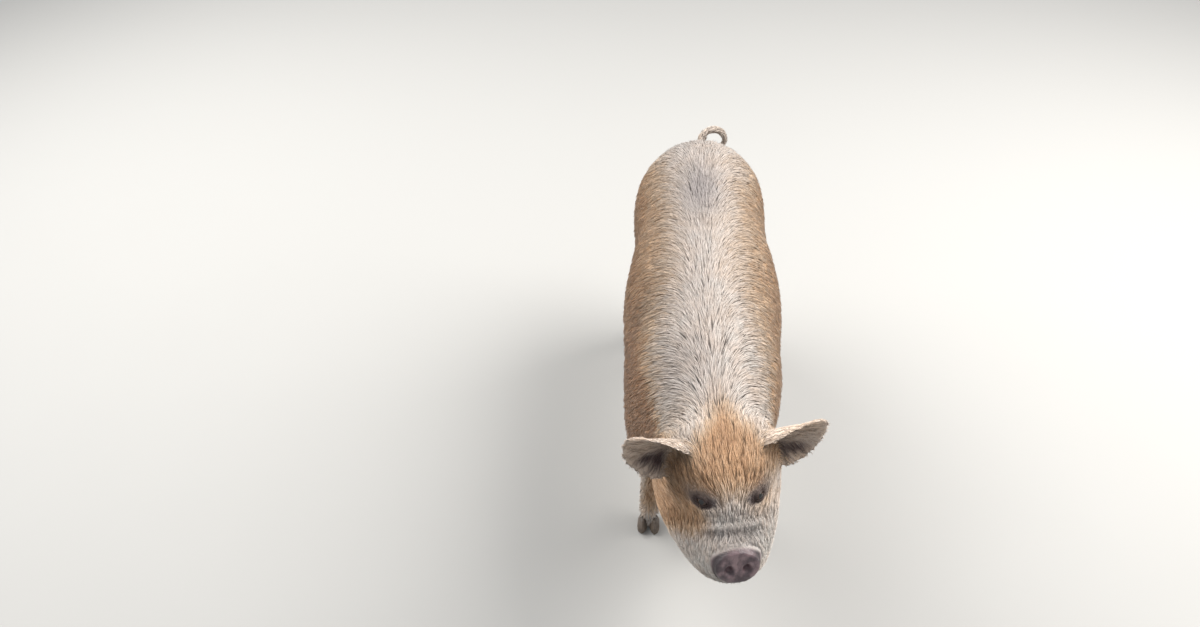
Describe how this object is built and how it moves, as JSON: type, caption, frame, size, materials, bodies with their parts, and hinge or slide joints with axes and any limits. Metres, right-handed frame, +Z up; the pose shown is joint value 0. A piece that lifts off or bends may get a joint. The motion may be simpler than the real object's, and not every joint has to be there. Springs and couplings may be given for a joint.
{
  "type": "kunekune pig",
  "caption": "Life-size still model of a young ginger and cream kunekune pig standing square with its head raised, for display.",
  "frame": {"origin": "on the floor under the middle of the whole model", "axes": "+Z up from the floor through the back, -Y towards the snout and +Y towards the tail, +X to the pig's own left side"},
  "size_m": [0.3074, 0.9814, 0.5293],
  "materials": {
    "skin_and_coat": "bristly hair lying flat, golden ginger on the sides with a pale cream to mauve-grey band along the back",
    "snout_skin": "bare damp mauve-pink skin, slightly muddy",
    "horn": "worn grey-brown hoof horn, matt",
    "eye": "dark brown, wet and glossy"
  },
  "bodies": {
    "root": {"hoof_front_left_inner": "horn", "dewclaw_front_left_inner": "horn", "hoof_front_left_outer": "horn", "dewclaw_front_left_outer": "horn", "leg_front_left": "skin_and_coat", "hoof_front_right_outer": "horn", "dewclaw_front_right_outer": "horn", "hoof_front_right_inner": "horn", "dewclaw_front_right_inner": "horn", "leg_front_right": "skin_and_coat", "hoof_hind_left_inner": "horn", "dewclaw_hind_left_inner": "horn", "hoof_hind_left_outer": "horn", "dewclaw_hind_left_outer": "horn", "leg_hind_left": "skin_and_coat", "hoof_hind_right_outer": "horn", "dewclaw_hind_right_outer": "horn", "hoof_hind_right_inner": "horn", "dewclaw_hind_right_inner": "horn", "leg_hind_right": "skin_and_coat", "ear_left": "skin_and_coat", "ear_right": "skin_and_coat", "eye_left": "eye", "eye_right": "eye", "snout_disc": "snout_skin", "tail": "skin_and_coat", "trunk": "skin_and_coat", "neck": "skin_and_coat", "head": "skin_and_coat", "muzzle": "skin_and_coat", "lower_jaw": "skin_and_coat"}
  },
  "joints": []
}
